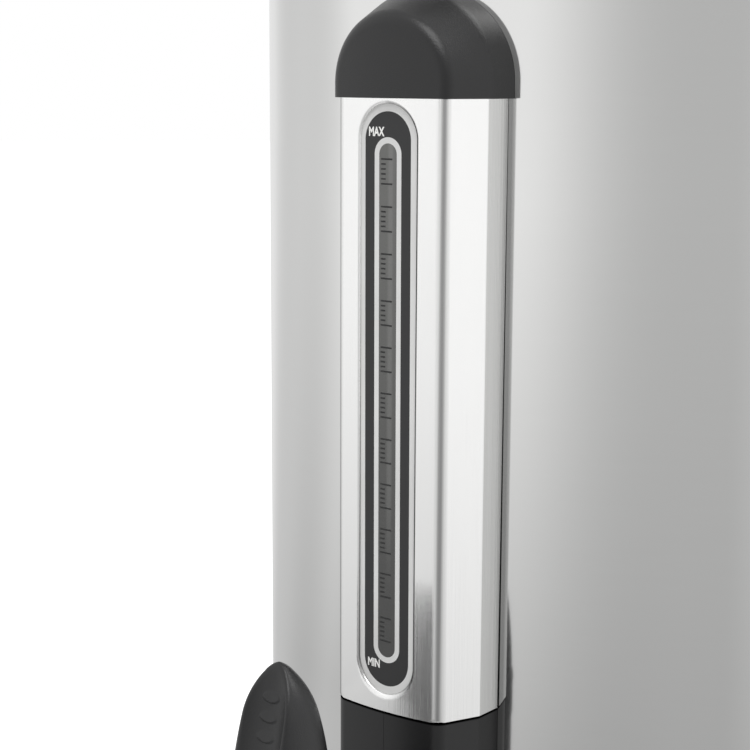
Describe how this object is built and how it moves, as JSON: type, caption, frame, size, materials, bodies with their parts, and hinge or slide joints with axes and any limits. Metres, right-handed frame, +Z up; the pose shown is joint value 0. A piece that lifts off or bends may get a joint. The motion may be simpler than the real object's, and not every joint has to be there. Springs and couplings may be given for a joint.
{
  "type": "mulled wine urn",
  "caption": "Steel drinks urn on a black base, with a lift-off lid, side handles, a level gauge in a column on its front and a self-closing lever tap below.",
  "frame": {"origin": "on the tank's axis, at the height of the surface that the feet stand on", "axes": "+Z up along the tank's axis; -Y is the front, where the gauge and tap are; +X is the viewer's right when facing the front"},
  "size_m": [0.384, 0.3969, 0.4988],
  "materials": {
    "tank_steel": "brushed round the tank",
    "lid_steel": "satin",
    "base_plastic": "fine-grained",
    "plain_steel": "mill finish",
    "rubber": "matt",
    "screw_steel": "plain",
    "aluminium": "machined",
    "element_steel": "heat-tinted",
    "cutout_metal": "plain",
    "thermostat_metal": "zinc-plated",
    "copper": "drawn copper",
    "black_plastic": "satin",
    "dial_print": "printed",
    "rocker_plastic": "gloss",
    "green_lens": "clear green",
    "amber_lens": "clear amber",
    "brass": "plain",
    "cover_steel": "brushed lengthwise",
    "label_print": "printed black with silver-grey edges",
    "smoked_window": "smoked",
    "clear_tube": "clear",
    "silicone": "translucent",
    "spring_steel": "drawn wire",
    "wire_sleeve": "matt sleeve"
  },
  "bodies": {
    "urn": {"tank_shell": "tank_steel", "tank_floor": "tank_steel", "base_ring": "base_plastic", "base_plate": "plain_steel", "rubber_feet": "rubber", "base_screws": "screw_steel", "heat_plate": "aluminium", "heating_element": "element_steel", "element_clamp": "plain_steel", "clamp_nut": "screw_steel", "thermal_cutout": "cutout_metal", "thermostat": "thermostat_metal", "thermostat_bulb": "copper", "dial_plate": "dial_print", "switch_frame": "black_plastic", "power_lamp": "green_lens", "ready_lamp": "amber_lens", "appliance_inlet": "black_plastic", "inlet_pins": "brass", "inlet_screws": "screw_steel", "gauge_cover": "cover_steel", "gauge_cap": "black_plastic", "lower_housing_right": "black_plastic", "lower_housing_left": "black_plastic", "column_back": "black_plastic", "column_screws": "screw_steel", "gauge_label": "label_print", "gauge_window": "smoked_window", "sight_tube": "clear_tube", "tube_seals": "silicone", "tube_holder": "black_plastic", "gauge_fitting": "black_plastic", "tap_body": "black_plastic", "tap_nut": "screw_steel", "tap_washers": "silicone", "tap_bonnet": "black_plastic", "tap_spring": "spring_steel", "left_handle": "black_plastic", "right_handle": "black_plastic", "handle_screws": "screw_steel", "wiring": "wire_sleeve"},
    "lid": {"lid": "lid_steel", "lid_knob": "black_plastic", "knob_screw": "screw_steel"},
    "tap_stem": {"tap_stem": "screw_steel", "seat_cup": "silicone"},
    "tap_lever": {"tap_lever": "black_plastic", "lever_pin": "screw_steel"},
    "knob": {"thermostat_knob": "black_plastic", "thermostat_spindle": "screw_steel"},
    "rocker": {"rocker_switch": "rocker_plastic"}
  },
  "joints": [
    {"name": "lid_lift", "type": "slide", "parent": "urn", "child": "lid", "axis": [0, 0, 1], "range_m": [0, 0.08]},
    {"name": "stem_lift", "type": "slide", "parent": "urn", "child": "tap_stem", "axis": [0, 0, 1], "range_m": [0, 0.00354], "stiffness_N_per_m": 600, "springref_m": -0.004, "deforming": ["tap_spring"]},
    {"name": "lever_pull", "type": "hinge", "parent": "tap_stem", "child": "tap_lever", "pos_m": [0, -0.223, 0.184], "axis": [1, 0, 0], "range_deg": [0, 45]},
    {"name": "knob_turn", "type": "hinge", "parent": "urn", "child": "knob", "pos_m": [0, -0.151, 0.038], "axis": [0, 1, 0], "range_deg": [0, 270]},
    {"name": "rocker_press", "type": "hinge", "parent": "urn", "child": "rocker", "pos_m": [0.038, -0.146, 0.038], "axis": [1, 0, 0], "range_deg": [0, 14]}
  ],
  "couplings": [
    {"joint": "lever_pull", "follows": "stem_lift", "rad_per_m": 222.11}
  ]
}
